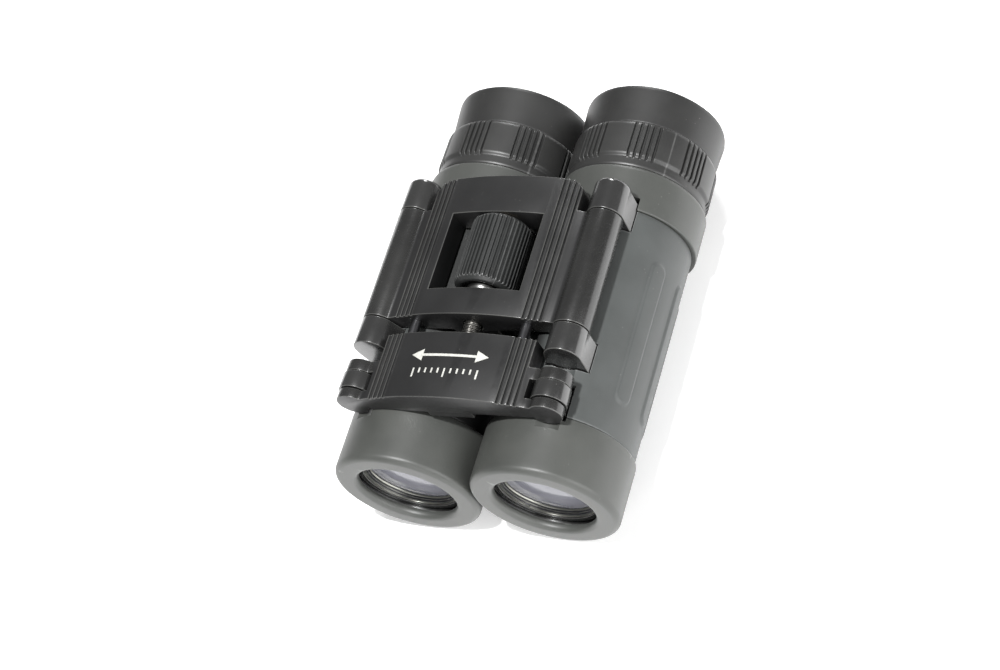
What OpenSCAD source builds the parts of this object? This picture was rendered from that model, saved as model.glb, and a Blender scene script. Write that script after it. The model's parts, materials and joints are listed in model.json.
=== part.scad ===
// Compact folding binoculars with two hinges, 8 power, 21 mm objectives.
// +Y points from the objectives to the eyepieces, +Z up, the barrels lie on z = 0.
// Left and right are the user's: the left barrel is on the +X side.

/* [Overall] */
// Length from the objective rim to the eyecup rim
total_length = 100.4; // [96:0.1:125]
// Distance between the two barrel axes when folded
barrel_spacing = 34.3; // [34.3:0.1:42]
// Outer radius of the objective rings, collars and eyepiece rings
ring_r = 17.0; // [14.2:0.1:17]
// Fold angle of the left barrel's hinge arm above the horizontal
fold_left = 76; // [64:1:80]
// Fold angle of the right barrel's hinge arm above the horizontal
fold_right = 63.6; // [60:0.1:76]

/* [Barrels] */
// How far the rings stand out over the hard barrel tube
ring_step = 1.6; // [1.6:0.1:2]
// Wall of the hard barrel tube
tube_wall = 2.2; // [1.8:0.1:2.4]
// How much lower than the rings the rubber sleeve lies on the outside, on the average
sleeve_step = 0.5; // [0.3:0.05:0.5]
// Height of the grip pads on the sleeve
pad_height = 0.35; // [0.2:0.05:0.5]
// Width of a grip pad
pad_width = 3.8; // [3:0.1:5]
// Length of a grip pad
pad_length = 35; // [28:0.5:40]
// Number of grip pads on a sleeve
pad_count = 4; // [2:1:4]
// Angle from the hinge to the first grip pad
pad_first = 49; // [46:1:56]
// Angle between neighbouring grip pads
pad_step = 33.5; // [28:0.5:36]
// Depth of the objective ring along the barrel
front_ring_depth = 14.4; // [13:0.1:15]
// Rounding of the objective ring's rim
rim_round = 1.5; // [0.8:0.1:2]
// How much wider than the objective the opening in its ring is, on the radius
opening_margin = 0.6; // [0.4:0.1:0.9]
// How far the rear collar bulges outwards
collar_bulge = 0.5; // [0:0.05:0.6]
// Length of the rear collar
collar_length = 10.9; // [10:0.1:13]
// Length of the eyepiece ring
eye_ring_length = 12; // [11:0.1:14]
// How far the eyecup's rim stays inside the rings
eyecup_step = 0.25; // [0.1:0.05:0.5]
// Length of the soft eyecup
eyecup_length = 9.7; // [8:0.1:14]
// Grip groups around an eyepiece ring
grip_groups = 8; // [6:1:10]
// Grooves in a grip group
grip_grooves = 5; // [3:1:5]
// Angle between the grooves of a grip group
groove_step = 4.9; // [4:0.1:6]
// Angle from the hinge to a grip group on the left eyepiece
left_grip_turn = 9; // [0:1:44]
// Angle from the hinge to a grip group on the diopter ring
diopter_grip_turn = 26; // [0:1:44]

/* [Hinges] */
// Height of a hinge axis over the barrel's rings
hinge_height = 3.5; // [3.5:0.1:4.5]
// Outer radius of the hinge tubes on the main bridge
hinge_tube_r = 4.2; // [3.6:0.1:4.2]
// Radius of the barrel lugs
lug_r = 4.2; // [3.6:0.1:4.2]
// Radius of the front bridge's knuckles
knuckle_r = 3.8; // [3.4:0.1:3.8]
// Radius of the objective cell's lug
cell_lug_r = 4.1; // [3.6:0.1:4.1]
// Radius of the hinge pins
hinge_pin_r = 1.6; // [1.2:0.1:1.8]
// Radius of the link pins of the front bridge
link_pin_r = 1.3; // [1:0.1:1.5]
// Length of the front lug
front_lug_length = 6.8; // [5:0.1:7]
// Length of the rear lug
rear_lug_length = 8.2; // [6:0.1:8.6]
// Slope of a lug's outer flank
flank_slope = 12; // [0:1:14]

/* [Bridges] */
// Height of the bridges' crown over the hinge axes
crown = 5.6; // [4.8:0.1:6.5]
// Height of the arched top over the hinge axes at the hinges
arch_end = 1.6; // [1:0.1:3]
// Depth of the bridge plates under the hinge axes
deck_depth = 1.5; // [1.2:0.1:1.5]
// Length of the main bridge
main_length = 36.3; // [34:0.1:38]
// Length of the front bridge
front_length = 16.3; // [15:0.1:17]
// Gap between the two bridges at rest
bridge_gap = 4.6; // [4.2:0.1:5]
// Length of the window around the focus wheel
window_length = 19.9; // [18:0.1:21]
// Width of the window around the focus wheel
window_width = 23.2; // [22:0.1:24]
// Wall of the main bridge in front of the window
window_wall = 6.7; // [6:0.1:7.5]
// Rounding of the main bridge's rear corners
corner_round = 3.5; // [2:0.1:4]
// Grooves on each side of a bridge
deck_grooves = 4; // [3:1:5]
// Distance between those grooves
deck_groove_step = 1.3; // [1:0.05:1.3]
// Width of a groove
deck_groove_width = 0.55; // [0.4:0.05:0.7]
// Depth of a groove
deck_groove_depth = 0.4; // [0.2:0.05:0.5]
// Distance of the innermost groove from the middle
deck_groove_start = 14.2; // [13.6:0.1:14.2]

/* [Focus drive] */
// Radius of the focus wheel
wheel_r = 7.1; // [6:0.1:7.1]
// Ribs around the focus wheel
wheel_ribs = 42; // [24:1:48]
// Height of a rib
rib_height = 0.5; // [0.3:0.05:0.7]
// Height of the wheel's axis over the hinge axes
wheel_height = 0.35; // [0:0.05:0.6]
// Radius of the focus screw
screw_r = 2; // [1.6:0.1:2.2]
// Radius of the guide rods
rod_r = 1.2; // [1:0.1:1.3]
// Distance of a guide rod from the middle
rod_offset = 14; // [13.6:0.1:14.4]
// Travel of the focus towards the objectives
travel_front = 1.2; // [0.8:0.1:1.2]
// Travel of the focus towards the eyepieces
travel_rear = 3; // [2:0.1:3]
// Travel of the right eyepiece each way from its middle
diopter_travel = 1.2; // [0.6:0.1:1.2]

/* [Optics] */
// Wall of the objective cell around its lens
cell_wall = 1.7; // [1.5:0.1:2.6]
// Distance of the objective lens behind the front rim
objective_depth = 5.2; // [5:0.1:6]
// Wall of the eyepiece cell around the eye lens
eye_cell_wall = 3.2; // [2.6:0.1:4]

/* [Fits] */
// Radial clearance of turning and sliding fits
running_fit = 0.05; // [0.03:0.01:0.08]
// Radial clearance of pressed and glued seats
seat_fit = 0.01; // [0.01:0.01:0.03]
// Gap between pieces that pass each other
side_gap = 0.3; // [0.25:0.05:0.35]

/* [Hidden] */
$fn = 96;
overlap = 0.5;
past = 1;
big = 60;

// Radii of one barrel, from the rings inwards
tube_r = ring_r - ring_step;
tube_in = tube_r - tube_wall;
sleeve_r = ring_r - sleeve_step;
sleeve_shift = sleeve_step;
eyecup_r = ring_r - eyecup_step;
arm = ring_r + hinge_height;
cell_r = tube_in - 0.6;
lens_r = cell_r - cell_wall;
lens_ledge = 0.8;
retainer_r = lens_r + 0.3;
front_opening_r = lens_r + opening_margin;
base_out = tube_in + 0.7;
base_in = tube_in - 1.15;
spigot_r = ring_r - 2;
spigot_bore = base_in + 0.55;
eye_cell_r = base_in - running_fit;
eye_lens_r = eye_cell_r - eye_cell_wall;
field_lens_r = eye_lens_r - 0.3;
field_stop_bore = field_lens_r - 3;

pad_forward = 0.9;

// Stations along the optical axis, counted from the front rim
collar_front = total_length - eyecup_length - eye_ring_length - collar_length - 0.3;
collar_rear = collar_front + collar_length;
eye_ring_front = collar_rear + 0.2;
eye_ring_rear = eye_ring_front + eye_ring_length;
eyecup_front = eye_ring_rear + 0.1;
tube_front = 2.6;
tube_rear = collar_rear - 0.4;

// Stations of the bridges and hinges
main_rear = collar_front + 2;
main_front = main_rear - main_length;
rear_lug_rear = main_rear + 0.7;
rear_lug_front = rear_lug_rear - rear_lug_length;
front_lug_rear = main_front - side_gap;
front_lug_front = front_lug_rear - front_lug_length;
pin_front = front_lug_front + 1;
hinge_tube_rear = rear_lug_front - side_gap;
front_rear = main_front - bridge_gap;
front_front = front_rear - front_length;
knuckle_a = front_front + 2.3;
cell_lug_front = knuckle_a + side_gap;
cell_lug_rear = cell_lug_front + 4;
knuckle_b = cell_lug_rear + side_gap;
knuckle_c = knuckle_b + 2.8;
window_front = main_front + window_wall;
window_rear = window_front + window_length;

// Clearances around what turns on the hinges
lug_margin = 1.3;
lug_round = 1.2;
notch_margin = 0.45;
room_gap = 0.4;
trough_r = hinge_tube_r + 0.35;

// Hinge axes at rest, as x and z about the middle of the barrel axes
hinge_l = [barrel_spacing / 2 + arm * cos(fold_left), arm * sin(fold_left)];
hinge_r = [-barrel_spacing / 2 - arm * cos(fold_right), arm * sin(fold_right)];
bridge_mid = (hinge_l + hinge_r) / 2;
half_span = norm(hinge_l - hinge_r) / 2;
bridge_tilt = atan2(hinge_l[1] - hinge_r[1], hinge_l[0] - hinge_r[0]);
arch_drop = crown - arch_end;
arch_r = (half_span * half_span + arch_drop * arch_drop) / (2 * arch_drop);
lug_zone_w = half_span - lug_r - lug_margin;
notch_w = half_span - cell_lug_r - notch_margin;
barrel_room = ring_r + room_gap;
bulge_turn = 90 - (fold_left + fold_right) / 2;
lift = ring_r + collar_bulge * max(0, sin(90 - fold_right - bulge_turn), sin(90 - fold_left - bulge_turn));

// Focus drive
wheel_front = window_front + 1.6;
wheel_rear = window_rear - 0.9;
wheel_recess = 0.8;
wheel_chamfer = 1;
nut_r = 3.4;
journal_r = 2.9;
rear_journal_r = 2.6;
journal_front = window_front - 3.3;
journal_rear = window_rear + 3.2;
screw_front = front_front + 4.4;
screw_rear = wheel_front + 5.5;
rod_rear = main_front + 5.8;
rod_front = front_front + 5.6;
boss_w = 5.6;
boss_bottom = -3.2;
cap_thick = 1;
cap_screw_x = 4.3;
cap_screw_r = 0.7;
cap_head = 0.5;

// Optics
cell_front = 3.1;
cell_rear = cell_lug_rear + 7.4;
neck_w = 3.2;
slot_w = neck_w + 0.4;
slot_front = cell_lug_front - travel_front - side_gap;
slot_rear = cell_lug_rear + travel_rear + side_gap;
crown_edge = 2.6;
flint_edge = 1.4;
crown_front_sag = 1.1;
crown_back_sag = 0.9;
eye_cell_front = eye_ring_front - 6.6;
eye_cell_rear = eye_ring_rear + 2.6;
spigot_rear = eye_ring_rear + 2.4;
prism_front = cell_rear + travel_rear + 9.6;
prism_rear = collar_front - 0.5;

// ---- placing ----

// Puts the middle of the folded object over the origin, lying on z = 0
module stand() {
    translate([0, -total_length / 2, lift]) children();
}

// Bridge frame: x across between the hinge axes, z up from them
module on_bridge() {
    stand()
        translate([bridge_mid[0], 0, bridge_mid[1]])
            rotate([0, -bridge_tilt, 0])
                children();
}

// Barrel frame: the barrel's axis on y, its hinge axis straight above, +x outwards
module on_left() {
    stand()
        translate([barrel_spacing / 2, 0, 0])
            rotate([0, 90 - fold_left, 0])
                children();
}

module on_right() {
    stand()
        translate([-barrel_spacing / 2, 0, 0])
            mirror([1, 0, 0])
                rotate([0, 90 - fold_right, 0])
                    children();
}

// A flat outline in x and z, drawn out along y
module slab(from, to) {
    translate([0, to, 0])
        rotate([90, 0, 0])
            linear_extrude(to - from)
                children();
}

// A rod along y
module rod(r, from, to) {
    translate([0, from, 0])
        rotate([-90, 0, 0])
            cylinder(r = r, h = to - from);
}

// A ring turned from an outline of [radius, station] points
module turned(points) {
    rotate([-90, 0, 0])
        rotate_extrude()
            polygon(points);
}

function to_bridge(p) = [
    (p[0] - bridge_mid[0]) * cos(bridge_tilt) + (p[1] - bridge_mid[1]) * sin(bridge_tilt),
    (p[1] - bridge_mid[1]) * cos(bridge_tilt) - (p[0] - bridge_mid[0]) * sin(bridge_tilt)
];

function deck_top(x) = crown - arch_r + sqrt(arch_r * arch_r - x * x);

// Points of a lens face that bulges by "sag" over the radius "r", from the rim to the axis
function face(r, station, sag, steps = 10) = [
    for (i = [0 : steps])
        let (x = r * (1 - i / steps))
            [x, station + sag * (1 - (x * x) / (r * r))]
];

// ---- bridges ----

// Arched plate between the hinges, hollowed underneath over the barrels
module deck(half_w) {
    difference() {
        intersection() {
            translate([0, crown - arch_r])
                circle(r = arch_r, $fn = 360);
            translate([-half_w, -deck_depth])
                square([2 * half_w, crown + deck_depth + 1]);
        }
        barrel_rooms();
    }
}

module barrel_rooms() {
    for (side = [-1, 1])
        translate(to_bridge([side * barrel_spacing / 2, 0]))
            circle(r = barrel_room);
}

// Grooves that follow the arch on both sides of a bridge
module deck_grooves_cut(from, to) {
    for (side = [-1, 1], i = [0 : deck_grooves - 1]) {
        x = deck_groove_start + i * deck_groove_step;
        slab(from - past, to + past)
            translate([side * x - deck_groove_width / 2, deck_top(x) - deck_groove_depth])
                square([deck_groove_width, 2]);
    }
}

module boss() {
    translate([-boss_w, boss_bottom])
        square([2 * boss_w, wheel_height - boss_bottom]);
}

// What a rounded rear corner takes away
module corner_cut(side) {
    translate([side * lug_zone_w, main_rear, -big / 2])
        linear_extrude(big)
            difference() {
                square([2 * corner_round, 2 * corner_round], center = true);
                translate([-side * corner_round, -corner_round])
                    circle(r = corner_round);
            }
}

module main_bridge() {
    color([0.13, 0.13, 0.135])
        difference() {
            union() {
                slab(main_front, hinge_tube_rear) deck(half_span);
                slab(hinge_tube_rear - overlap, main_rear) deck(lug_zone_w);
                slab(main_front, window_front) boss();
                slab(window_rear, main_rear) boss();
                for (side = [-1, 1])
                    translate([side * half_span, 0, 0])
                        rod(hinge_tube_r, main_front, hinge_tube_rear);
            }
            for (side = [-1, 1]) {
                translate([side * half_span, 0, 0])
                    rod(hinge_pin_r + running_fit, main_front - past, hinge_tube_rear + past);
                translate([side * rod_offset, 0, rod_r])
                    rod(rod_r + seat_fit, main_front - past, rod_rear);
                corner_cut(side);
            }
            slab(window_front, window_rear)
                translate([-window_width / 2, -big / 2])
                    square([window_width, big]);
            translate([0, 0, wheel_height]) {
                rod(screw_r + side_gap, main_front - past, window_front);
                rod(journal_r + running_fit, journal_front - 0.1, window_front + past);
                rod(rear_journal_r + running_fit, window_rear - past, journal_rear + 0.1);
            }
            bearing_slot(journal_front - 0.1, window_front + past, journal_r + running_fit);
            bearing_slot(window_rear - past, journal_rear + 0.1, rear_journal_r + running_fit);
            for (x = [-cap_screw_x, cap_screw_x], y = [cap_screw_y(0), cap_screw_y(1)])
                translate([x, y, boss_bottom - 1])
                    cylinder(r = cap_screw_r + seat_fit, h = 4);
            deck_grooves_cut(main_front, main_rear);
        }
}

function cap_screw_y(i) = i == 0 ? (journal_front + window_front) / 2 : (window_rear + journal_rear) / 2;

// Slot that lets a journal in from below
module bearing_slot(from, to, half_w) {
    slab(from, to)
        translate([-half_w, -big])
            square([2 * half_w, big + wheel_height]);
}

// Cap that closes a journal's slot from below
module bearing_cap(from, to, slot_from, slot_to, half_w) {
    difference() {
        union() {
            slab(from, to)
                translate([-boss_w, boss_bottom - cap_thick])
                    square([2 * boss_w, cap_thick - seat_fit]);
            slab(slot_from, slot_to)
                translate([-half_w + 0.05, boss_bottom - cap_thick])
                    square([2 * half_w - 0.1, wheel_height - boss_bottom + cap_thick]);
        }
        translate([0, 0, wheel_height])
            rod(half_w, from - past, to + past);
        for (x = [-cap_screw_x, cap_screw_x])
            translate([x, (slot_from + slot_to) / 2, boss_bottom - 2])
                cylinder(r = cap_screw_r + seat_fit, h = 4);
    }
}

module front_bearing_cap() {
    color([0.12, 0.12, 0.125])
        bearing_cap(main_front, window_front, journal_front, window_front, journal_r + running_fit);
}

module rear_bearing_cap() {
    color([0.12, 0.12, 0.125])
        bearing_cap(window_rear, main_rear, window_rear, journal_rear, rear_journal_r + running_fit);
}

// Four cross-slotted screws that hold the bearing caps
module cap_screws() {
    slot_long = 1.8;
    slot_wide = 0.3;
    color([0.6, 0.6, 0.62])
        for (x = [-cap_screw_x, cap_screw_x], y = [cap_screw_y(0), cap_screw_y(1)])
            translate([x, y, boss_bottom - cap_thick])
                difference() {
                    union() {
                        cylinder(r = cap_screw_r, h = 3.4);
                        translate([0, 0, -cap_head]) cylinder(r = 1.2, h = cap_head);
                    }
                    translate([0, 0, -cap_head]) cube([slot_wide, slot_long, cap_head], center = true);
                    translate([0, 0, -cap_head]) cube([slot_long, slot_wide, cap_head], center = true);
                }
}

module guide_rods() {
    color([0.55, 0.55, 0.57])
        for (side = [-1, 1])
            translate([side * rod_offset, 0, rod_r])
                rod(rod_r, rod_front, rod_rear - 0.2);
}

module front_bridge() {
    color([0.13, 0.13, 0.135])
        difference() {
            union() {
                slab(front_front, front_rear) deck(lug_zone_w);
                slab(front_front, knuckle_c) deck(notch_w);
                slab(front_front, knuckle_a) deck(half_span);
                slab(knuckle_b, knuckle_c) deck(half_span);
                slab(front_front, front_rear) boss();
                for (side = [-1, 1])
                    translate([side * half_span, 0, 0]) {
                        rod(knuckle_r, front_front, knuckle_a);
                        rod(knuckle_r, knuckle_b, knuckle_c);
                    }
            }
            for (side = [-1, 1]) {
                translate([side * half_span, 0, 0])
                    rod(link_pin_r + seat_fit, front_front + 0.8, knuckle_c + past);
                translate([side * rod_offset, 0, rod_r])
                    rod(rod_r + running_fit, rod_front - travel_rear - 0.6, front_rear + past);
            }
            translate([0, 0, wheel_height])
                rod(screw_r + seat_fit, screw_front, front_rear + past);
            deck_grooves_cut(front_front, front_rear);
        }
}

// ---- focus drive ----

// Rib outline of the wheel: flat crests between narrow troughs
function rib_points() = [
    for (i = [0 : wheel_ribs - 1], k = [0 : 3])
        let (
            turn = 360 / wheel_ribs * (i + [0.08, 0.22, 0.58, 0.72][k]),
            r = (k == 0 || k == 3) ? wheel_r - rib_height : wheel_r
        )
            [r * cos(turn), r * sin(turn)]
];

module focus_wheel() {
    color([0.17, 0.17, 0.175])
        on_wheel_axis()
            difference() {
                intersection() {
                    slab(wheel_front, wheel_rear) polygon(rib_points());
                    turned([
                        [0, wheel_front], [wheel_r - wheel_chamfer, wheel_front],
                        [wheel_r, wheel_front + wheel_chamfer], [wheel_r, wheel_rear - wheel_chamfer],
                        [wheel_r - wheel_chamfer, wheel_rear], [0, wheel_rear]
                    ]);
                }
                rod(nut_r + seat_fit, wheel_front - past, wheel_rear + past);
                rod(nut_r + 1.7, wheel_front - past, wheel_front + wheel_recess);
            }
}

module on_wheel_axis() {
    translate([0, 0, wheel_height]) children();
}

// Threaded nut inside the wheel, with a domed collar and a journal at each end
module focus_nut() {
    color([0.72, 0.7, 0.66])
        on_wheel_axis()
            difference() {
                turned([
                    [0, journal_front], [journal_r, journal_front], [journal_r, window_front + side_gap],
                    [journal_r + 0.3, window_front + 0.5], [journal_r + 0.8, window_front + 1],
                    [journal_r + 1, window_front + 1.6], [journal_r + 1, wheel_front + wheel_recess - seat_fit],
                    [nut_r, wheel_front + wheel_recess - seat_fit], [nut_r, wheel_rear], [rear_journal_r, wheel_rear],
                    [rear_journal_r, journal_rear], [0, journal_rear]
                ]);
                rod(screw_r + running_fit, journal_front - past, wheel_rear - 1.5);
            }
}

module thrust_washer() {
    color([0.75, 0.62, 0.35])
        on_wheel_axis()
            difference() {
                rod(4.6, wheel_rear + 0.1, window_rear - 0.1);
                rod(rear_journal_r + running_fit, wheel_rear, window_rear);
            }
}

// Focus screw: thread drawn as plain rings of the thread's depth
module focus_screw() {
    pitch = 0.8;
    turns = floor((screw_rear - front_rear + 4 - 1) / pitch);
    thread_front = screw_rear - 0.5 - turns * pitch;
    color([0.68, 0.68, 0.7])
        on_wheel_axis()
            turned(concat(
                [[0, screw_front], [screw_r, screw_front], [screw_r, thread_front]],
                [
                    for (i = [0 : turns - 1], k = [0 : 1])
                        k == 0
                            ? [screw_r - 0.35, thread_front + (i + 0.5) * pitch]
                            : [screw_r, thread_front + (i + 1) * pitch]
                ],
                [[screw_r - 0.4, screw_rear], [0, screw_rear]]
            ));
}

// ---- hinge and link pins, in the bridge frame ----

module hinge_pin(side) {
    translate([side * half_span, 0, 0])
        rod(hinge_pin_r, pin_front, rear_lug_rear - 0.1);
}

module link_pin(side) {
    translate([side * half_span, 0, 0])
        rod(link_pin_r, front_front + 0.9, knuckle_c - 0.1);
}

module left_hinge_pin() { color([0.62, 0.62, 0.64]) hinge_pin(1); }
module right_hinge_pin() { color([0.62, 0.62, 0.64]) hinge_pin(-1); }
module left_link_pin() { color([0.62, 0.62, 0.64]) link_pin(1); }
module right_link_pin() { color([0.62, 0.62, 0.64]) link_pin(-1); }

// ---- one barrel, in the barrel frame ----

// Where a lug's sloping outer flank leaves its round head
head_x = lug_r * cos(flank_slope);
head_z = arm + lug_r * sin(flank_slope);

function flank_x(z) = head_x + (head_z - z) * tan(flank_slope);

// Lug outline: round head, straight inner flank and sloping outer flank
module lug_outline() {
    foot = tube_r - 1.2;
    translate([0, arm]) circle(r = lug_r);
    polygon([[-lug_r, foot], [flank_x(foot), foot], [head_x, head_z], [-lug_r, arm]]);
}

// Rounded rear end of the rear lug
module rear_lug_end() {
    translate([0, 0, arm])
        turned(concat(
            [[0, rear_lug_front + past], [lug_r, rear_lug_front + past]],
            [
                for (i = [0 : 5])
                    [lug_r - lug_round * (1 - cos(i * 18)), rear_lug_rear - lug_round * (1 - sin(i * 18))]
            ],
            [[0, rear_lug_rear]]
        ));
}

// Opening that clears a lug
module lug_room(from, to) {
    near = -lug_r - side_gap;
    slab(from - side_gap, to + side_gap)
        polygon([
            [near, tube_in], [flank_x(tube_in) + side_gap, tube_in],
            [head_x + side_gap, head_z], [head_x + side_gap, big], [near, big]
        ]);
}

// Opening that the objective cell's neck slides in
module neck_slot() {
    translate([-slot_w, slot_front, tube_in / 2])
        cube([2 * slot_w, slot_rear - slot_front, big]);
}

// Trough that leaves room for what turns about the hinge axis
module hinge_trough(from, to) {
    translate([0, 0, arm])
        rod(trough_r, from, to);
}

module barrel() {
    color([0.14, 0.14, 0.145])
        difference() {
            union() {
                rod(tube_r, tube_front, tube_rear);
                slab(front_lug_front, front_lug_rear) lug_outline();
                slab(rear_lug_front, rear_lug_rear - lug_round) lug_outline();
                rear_lug_end();
            }
            rod(tube_in, tube_front - past, tube_rear + past);
            neck_slot();
            translate([0, 0, arm]) {
                rod(hinge_pin_r + seat_fit, pin_front - seat_fit, front_lug_rear + past);
                rod(hinge_pin_r + seat_fit, rear_lug_front - past, rear_lug_rear + past);
            }
        }
}

// Rubber sleeve between the objective ring and the collar
module sleeve() {
    color([0.2, 0.205, 0.205])
        difference() {
            union() {
                translate([0, 0, sleeve_shift])
                    rod(sleeve_r, front_ring_depth + 0.1, collar_front - 0.1);
                grip_pads();
            }
            rod(tube_r + seat_fit, 0, total_length);
            hinge_trough(0, total_length);
            neck_slot();
            lug_room(front_lug_front, front_lug_rear);
            lug_room(rear_lug_front, rear_lug_rear);
        }
}

// Long pads with round ends, standing a little proud of the sleeve
module grip_pads() {
    middle = (front_ring_depth + collar_front) / 2 - pad_forward;
    intersection() {
        translate([0, 0, sleeve_shift])
            rod(sleeve_r + pad_height, front_ring_depth + 1, collar_front - 1);
        for (i = [0 : pad_count - 1])
            rotate([0, pad_first + i * pad_step, 0])
                translate([0, middle, tube_in]) {
                    translate([-pad_width / 2, -(pad_length - pad_width) / 2, 0])
                        cube([pad_width, pad_length - pad_width, 6]);
                    for (end = [-1, 1])
                        translate([0, end * (pad_length - pad_width) / 2, 0])
                            cylinder(r = pad_width / 2, h = 6);
                }
    }
}

// Objective ring with a rounded rim and a hollow bevel around the opening
module front_ring() {
    color([0.21, 0.215, 0.215])
        difference() {
            turned(concat(
                [[front_opening_r + 1.1, 0]],
                [
                    for (i = [0 : 8])
                        [ring_r - rim_round + rim_round * sin(i * 11.25), rim_round - rim_round * cos(i * 11.25)]
                ],
                [
                    [ring_r, front_ring_depth], [tube_r + seat_fit, front_ring_depth],
                    [tube_r + seat_fit, tube_front], [cell_r + 0.4, tube_front],
                    [cell_r + 0.4, 1.7], [front_opening_r, 1.7], [front_opening_r, 1.1],
                    [front_opening_r + 0.25, 0.55], [front_opening_r + 0.6, 0.2]
                ]
            ));
            hinge_trough(front_front - travel_front - side_gap, front_ring_depth + past);
            neck_slot();
        }
}

// Rear collar, bulging a little to the outside
module collar() {
    color([0.21, 0.215, 0.215])
        difference() {
            union() {
                rod(ring_r, collar_front, collar_rear);
                rotate([0, -bulge_turn, 0])
                    translate([collar_bulge, 0, 0])
                        rod(ring_r, collar_front, collar_rear - 0.6);
            }
            rod(tube_r + seat_fit, collar_front - past, collar_rear + past);
            hinge_trough(0, main_rear + side_gap);
            lug_room(rear_lug_front, rear_lug_rear);
        }
}

// ---- objective ----

module objective_cell() {
    seat = objective_depth;
    lens_back = seat + crown_edge + flint_edge;
    color([0.1, 0.1, 0.1])
        difference() {
            union() {
                rod(cell_r, cell_front, cell_rear);
                slab(cell_lug_front, cell_lug_rear) {
                    translate([-neck_w, cell_r - 1.5]) square([2 * neck_w, arm - cell_r + 1.5]);
                    translate([0, arm]) circle(r = cell_lug_r);
                }
            }
            rod(retainer_r, cell_front - past, seat);
            rod(lens_r + seat_fit, seat - past, lens_back);
            rod(lens_r - lens_ledge, lens_back - past, cell_rear + past);
            translate([0, 0, arm])
                rod(link_pin_r + running_fit, cell_lug_front - past, cell_lug_rear + past);
        }
}

module crown_lens() {
    front = objective_depth;
    color([0.75, 0.78, 0.85, 0.5])
        turned(lens_outline(lens_r, front, -crown_front_sag, front + crown_edge, crown_back_sag));
}

module flint_lens() {
    front = objective_depth + crown_edge;
    color([0.7, 0.74, 0.82, 0.5])
        turned(lens_outline(lens_r, front + 0.02, crown_back_sag, front + flint_edge - 0.06, 0.25));
}

// Lens outline from its two faces: the front face from axis to rim, then the back face home
function lens_outline(r, front, front_sag, back, back_sag) = concat(
    [for (i = [10 : -1 : 0]) face(r, front, front_sag)[i]],
    face(r, back, back_sag)
);

// Threaded ring that holds the objective, stepped in towards the glass
module lens_retainer() {
    front = cell_front + 0.2;
    step = (objective_depth - front) / 2;
    back = objective_depth - 0.16;
    color([0.3, 0.3, 0.31])
        turned([
            [lens_r - 0.1, front], [retainer_r - 0.02, front], [retainer_r - 0.02, back],
            [lens_r - 0.6, back], [lens_r - 0.6, back - 0.25],
            [lens_r - 0.35, front + step], [lens_r - 0.1, front + step]
        ]);
}

// ---- prisms ----

// Half width, heights and cage bore follow the tube
prism_w = 0.606 * tube_in;
prism_low = -0.492 * tube_in;
prism_high = 0.568 * tube_in;
roof_high = 0.742 * tube_in;
roof_shoulder = 0.318 * tube_in;
cage_bore = 0.56 * tube_in;
prism_seat = 1.4;
prism_middle = (prism_front + prism_rear) / 2 - 5.2;

module prism_cage() {
    color([0.16, 0.16, 0.16])
        difference() {
            rod(tube_in - seat_fit, prism_front, prism_rear);
            translate([-prism_w - 0.1, prism_front + prism_seat - 0.2, -big / 2])
                cube([2 * prism_w + 0.2, prism_rear - prism_front - 2 * prism_seat + 0.4, big]);
            rod(cage_bore, prism_front - past, prism_rear + past);
        }
}

// Lean of the slanted faces between the two prisms
prism_lean = 8 / 14;
prism_gap = 0.4;

module prism_slab(outline) {
    translate([-prism_w, 0, 0])
        rotate([90, 0, 90])
            linear_extrude(2 * prism_w)
                polygon(outline);
}

module front_prism() {
    start = prism_front + prism_seat;
    foot = prism_middle + (prism_high - prism_low) * prism_lean;
    color([0.8, 0.84, 0.86, 0.5])
        prism_slab([[start, prism_low], [foot, prism_low], [prism_middle, prism_high], [start, prism_high]]);
}

module roof_prism() {
    end = prism_rear - prism_seat;
    slant = prism_middle + prism_gap;
    color([0.8, 0.84, 0.86, 0.5])
        prism_slab([
            [slant + (prism_high - prism_low) * prism_lean, prism_low], [end, prism_low], [end, roof_shoulder],
            [end - roof_high + roof_shoulder, roof_high], [slant - (roof_high - prism_high) * prism_lean, roof_high]
        ]);
}

// ---- eyepiece ----

module eyepiece_base() {
    color([0.12, 0.12, 0.125])
        turned([
            [base_in, tube_rear - 6], [tube_in - seat_fit, tube_rear - 6], [tube_in - seat_fit, tube_rear],
            [tube_r - 0.1, tube_rear], [tube_r - 0.1, collar_rear], [base_out, collar_rear],
            [base_out, eye_ring_rear - 1.2], [base_in, eye_ring_rear - 1.2]
        ]);
}

// Ring around the eyepiece: smooth band in front, then lands with groups of grooves
module eyepiece_ring_body(clearance, grip_turn) {
    land = eye_ring_front + 3.1;
    color([0.19, 0.19, 0.195])
        difference() {
            turned([
                [base_out + clearance, eye_ring_front], [ring_r - 0.7, eye_ring_front],
                [ring_r - 0.5, eye_ring_front + 0.5], [ring_r - 0.5, land - 0.6], [ring_r, land],
                [ring_r - 0.1, eye_ring_rear - 0.8], [ring_r - 0.5, eye_ring_rear], [spigot_r, eye_ring_rear],
                [spigot_r, spigot_rear], [spigot_bore, spigot_rear], [spigot_bore, eye_ring_rear - 1],
                [base_out + clearance, eye_ring_rear - 1]
            ]);
            for (g = [0 : grip_groups - 1], i = [0 : grip_grooves - 1])
                rotate([0, grip_turn + g * 360 / grip_groups + (i - (grip_grooves - 1) / 2) * groove_step, 0])
                    translate([-0.45, land - 0.5, ring_r - 0.6])
                        cube([0.9, eye_ring_length, 2]);
        }
}

module left_eyepiece_ring() { eyepiece_ring_body(seat_fit, left_grip_turn); }
module diopter_ring() { eyepiece_ring_body(running_fit, diopter_grip_turn); }

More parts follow.
